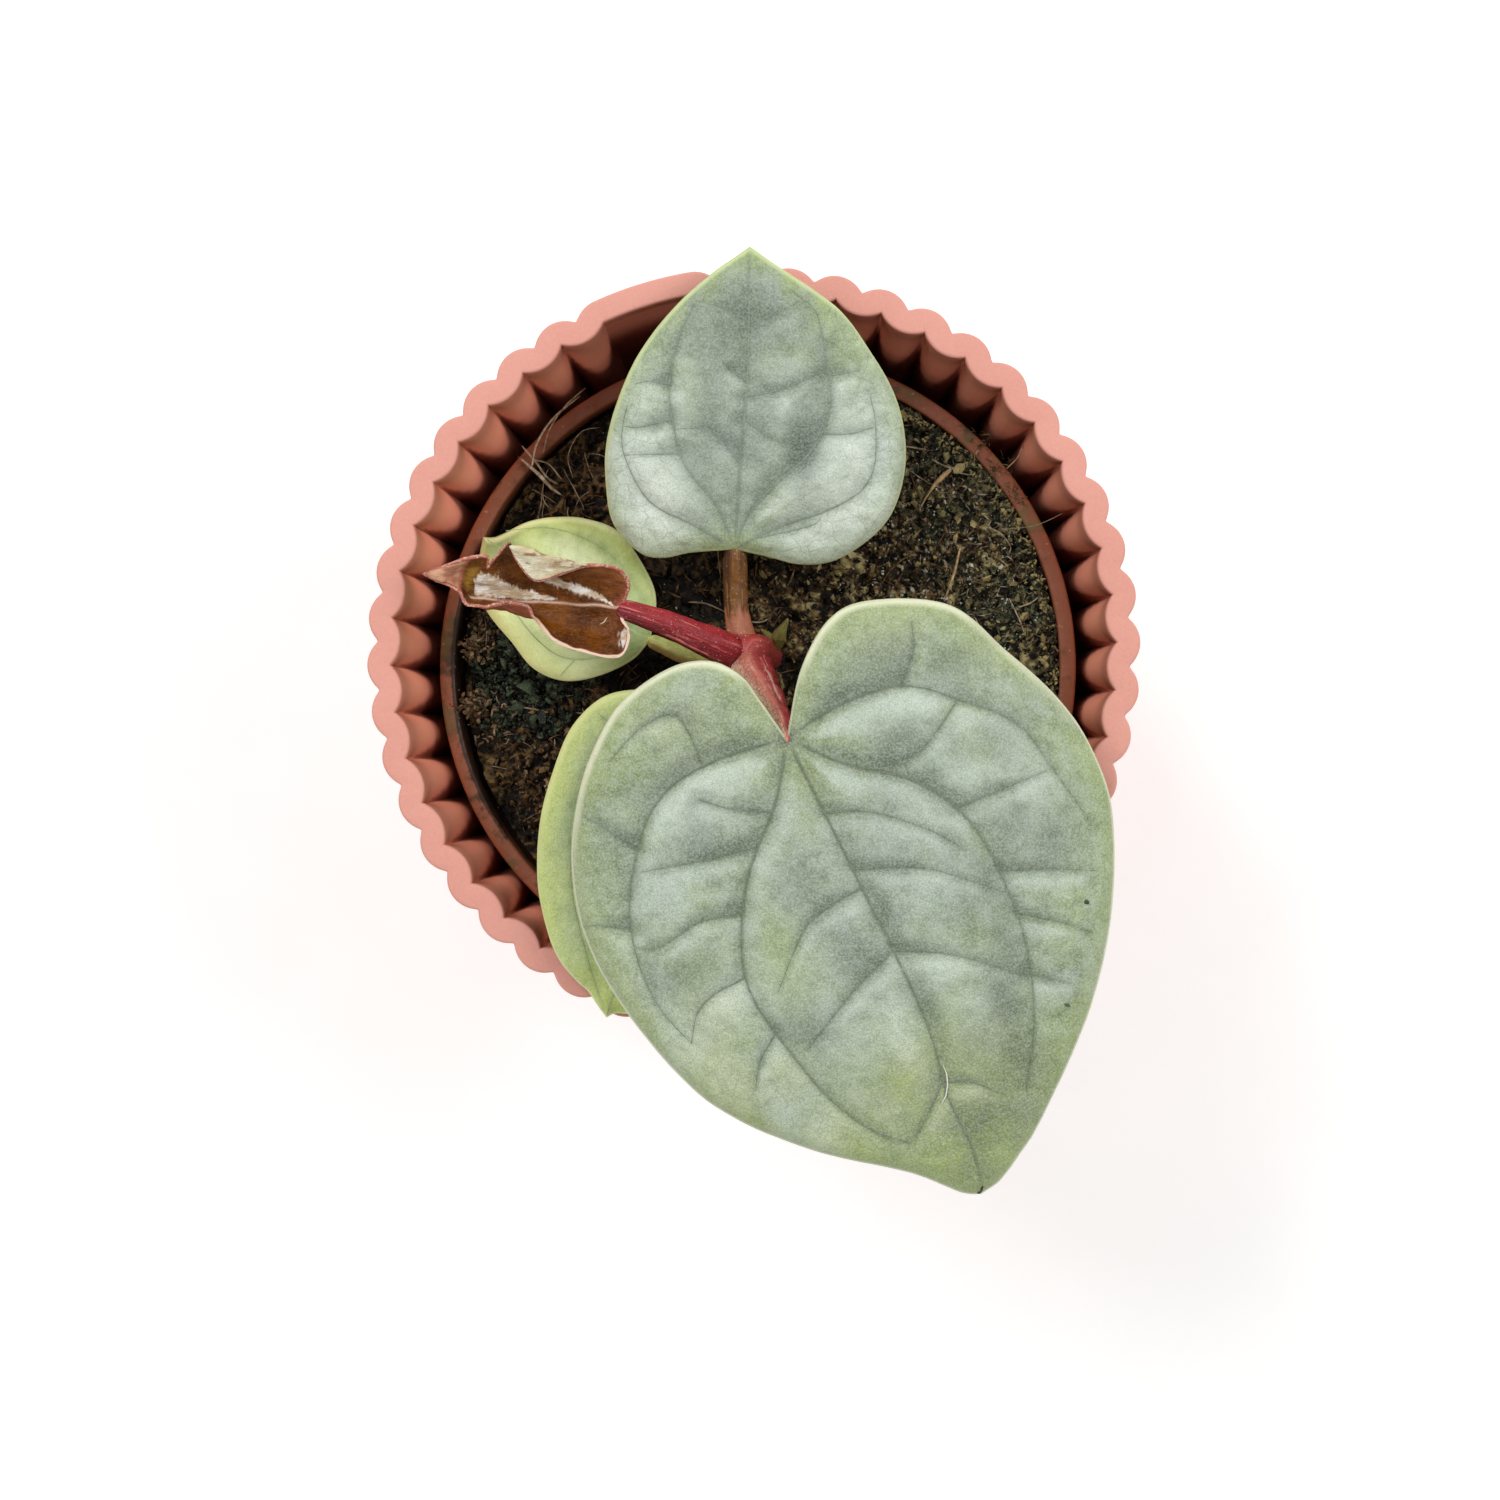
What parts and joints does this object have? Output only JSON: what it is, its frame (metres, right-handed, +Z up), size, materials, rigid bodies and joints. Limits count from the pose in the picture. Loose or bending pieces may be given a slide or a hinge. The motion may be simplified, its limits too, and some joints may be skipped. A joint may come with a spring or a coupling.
{
  "type": "potted anthurium",
  "caption": "Young potted plant with silver heart-shaped leaves on red-brown stalks, in a small nursery pot inside a fluted salmon cover pot.",
  "frame": {"origin": "centre of the cover pot's flat underside", "axes": "+Z up along the cover pot's axis, -Y towards the large leaf that reaches out over the rim, +Y towards the back leaf and the plain panel in the fluting"},
  "size_m": [0.07, 0.0835, 0.0759],
  "materials": {
    "cover_plastic": "matte, fine grain",
    "nursery_plastic": "satin, soil-stained",
    "peat": "damp, crumbly",
    "red_stalk": "fleshy, ridged",
    "brown_stalk": "fleshy, grooved",
    "olive_stalk": "fleshy",
    "silver_leaf": "silvery sheen, quilted between the veins",
    "lime_leaf": "soft sheen",
    "young_leaf": "glossy",
    "moss": "granular",
    "root": "dry",
    "straw": "dry"
  },
  "bodies": {
    "root": {"cover_pot": "cover_plastic", "nursery_pot": "nursery_plastic", "soil": "peat", "stem": "red_stalk", "petiole_front": "red_stalk", "petiole_new": "red_stalk", "petiole_back": "brown_stalk", "petiole_side": "olive_stalk", "petiole_small": "olive_stalk", "shoot": "olive_stalk", "leaf_front": "silver_leaf", "leaf_back": "silver_leaf", "leaf_side": "lime_leaf", "leaf_small": "lime_leaf", "leaf_new": "young_leaf", "moss_clump": "moss", "root_thick": "root", "root_thread": "root", "straw_bent": "straw", "straw_thin": "straw"}
  },
  "joints": []
}
